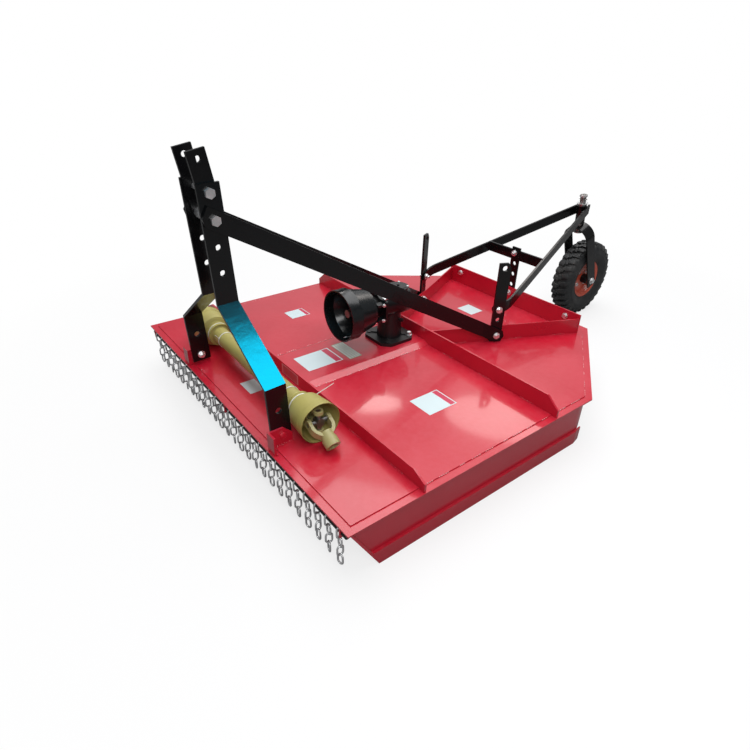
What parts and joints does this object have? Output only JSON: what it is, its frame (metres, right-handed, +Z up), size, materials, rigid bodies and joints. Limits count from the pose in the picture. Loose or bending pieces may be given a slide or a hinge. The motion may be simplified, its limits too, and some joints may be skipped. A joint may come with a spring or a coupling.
{
  "type": "slasher mower",
  "caption": "Rotary slasher mower for a three-point linkage, with hitch mast, long braces, right-angle gearbox, guarded drive shaft, chain guards and a caster tail wheel.",
  "frame": {"origin": "on the ground under the middle of the whole machine", "axes": "+X towards the machine's left, +Y from the linkage back to the tail wheel, +Z up"},
  "size_m": [1.62, 2.5174, 1.1156],
  "materials": {
    "red_paint": "gloss",
    "black_paint": "gloss",
    "zinc_plate": "satin",
    "casting_black": "satin",
    "guard_plastic": "satin",
    "yoke_paint": "satin",
    "bare_steel": "worn",
    "bell_plastic": "satin",
    "rim_paint": "gloss",
    "tyre": "matte"
  },
  "bodies": {
    "frame": {"deck_plate": "red_paint", "deck_rim": "red_paint", "front_rib": "red_paint", "rear_rib": "red_paint", "gearbox_channel": "red_paint", "skirt_left": "red_paint", "skirt_right": "red_paint", "skid_left": "red_paint", "skid_right": "red_paint", "rod_lugs": "red_paint", "hitch_lugs": "red_paint", "rear_frame": "red_paint", "hitch_leg_left": "black_paint", "hitch_leg_right": "black_paint", "top_link_ears": "black_paint", "brace_left": "black_paint", "brace_right": "black_paint", "uprights": "black_paint", "tail_arms": "black_paint", "tail_cross_bar": "black_paint", "setting_strap": "black_paint", "caster_sleeve": "black_paint", "front_chains": "zinc_plate", "rear_chains": "zinc_plate", "mast_bolts": "zinc_plate", "gearbox_housing": "casting_black", "gearbox_cap": "casting_black", "pto_near_guard": "guard_plastic", "pto_near_shaft": "yoke_paint", "input_guard": "bell_plastic"},
    "input": {"input_shaft": "bare_steel"},
    "rotor_body": {"rotor": "black_paint"},
    "left_blade": {"blade_left": "bare_steel"},
    "right_blade": {"blade_right": "bare_steel"},
    "caster": {"caster_spindle": "bare_steel", "caster_fork": "black_paint", "wheel_axle": "zinc_plate"},
    "wheel": {"wheel_rim": "rim_paint", "wheel_tyre": "tyre"},
    "far_shaft": {"pto_far_guard": "guard_plastic", "pto_far_shaft": "yoke_paint"},
    "near_cross": {"pto_near_cross": "bare_steel"},
    "far_cross": {"pto_far_cross": "bare_steel"},
    "near_yoke": {"pto_near_yoke": "yoke_paint"},
    "far_yoke": {"pto_far_yoke": "yoke_paint"}
  },
  "joints": [
    {"name": "input_spin", "type": "hinge", "parent": "frame", "child": "input", "pos_m": [-0.045, -0.39631, 0.401], "axis": [0, 1, 0], "continuous": true},
    {"name": "rotor_spin", "type": "hinge", "parent": "frame", "child": "rotor_body", "pos_m": [-0.045, -0.39631, 0.09], "axis": [0, 0, 1], "continuous": true},
    {"name": "left_blade_swing", "type": "hinge", "parent": "rotor_body", "child": "left_blade", "pos_m": [0.245, -0.39631, 0.065], "axis": [0, 0, 1], "range_deg": [-120, 120]},
    {"name": "right_blade_swing", "type": "hinge", "parent": "rotor_body", "child": "right_blade", "pos_m": [-0.335, -0.39631, 0.065], "axis": [0, 0, 1], "range_deg": [-120, 120]},
    {"name": "caster_swivel", "type": "hinge", "parent": "frame", "child": "caster", "pos_m": [0, 0.90269, 0.609], "axis": [0, -0.1045, 0.9945], "continuous": true},
    {"name": "wheel_spin", "type": "hinge", "parent": "caster", "child": "wheel", "pos_m": [0, 1.04169, 0.217], "axis": [1, 0, 0], "continuous": true},
    {"name": "shaft_slide", "type": "slide", "parent": "frame", "child": "far_shaft", "axis": [-1, 0, 0], "range_m": [0, 0.12]},
    {"name": "near_cross_turn", "type": "hinge", "parent": "frame", "child": "near_cross", "pos_m": [0.399, -1.06331, 0.2903], "axis": [0, 0, 1], "range_deg": [-35, 35]},
    {"name": "near_yoke_turn", "type": "hinge", "parent": "near_cross", "child": "near_yoke", "pos_m": [0.399, -1.06331, 0.2903], "axis": [0, 1, 0], "range_deg": [-58, 0]},
    {"name": "far_cross_turn", "type": "hinge", "parent": "far_shaft", "child": "far_cross", "pos_m": [-0.511, -1.06331, 0.2903], "axis": [0, 0, 1], "range_deg": [-35, 35]},
    {"name": "far_yoke_turn", "type": "hinge", "parent": "far_cross", "child": "far_yoke", "pos_m": [-0.511, -1.06331, 0.2903], "axis": [0, 1, 0], "range_deg": [0, 58]}
  ],
  "couplings": [
    {"joint": "input_spin", "follows": "rotor_spin", "ratio": 0.68493}
  ]
}
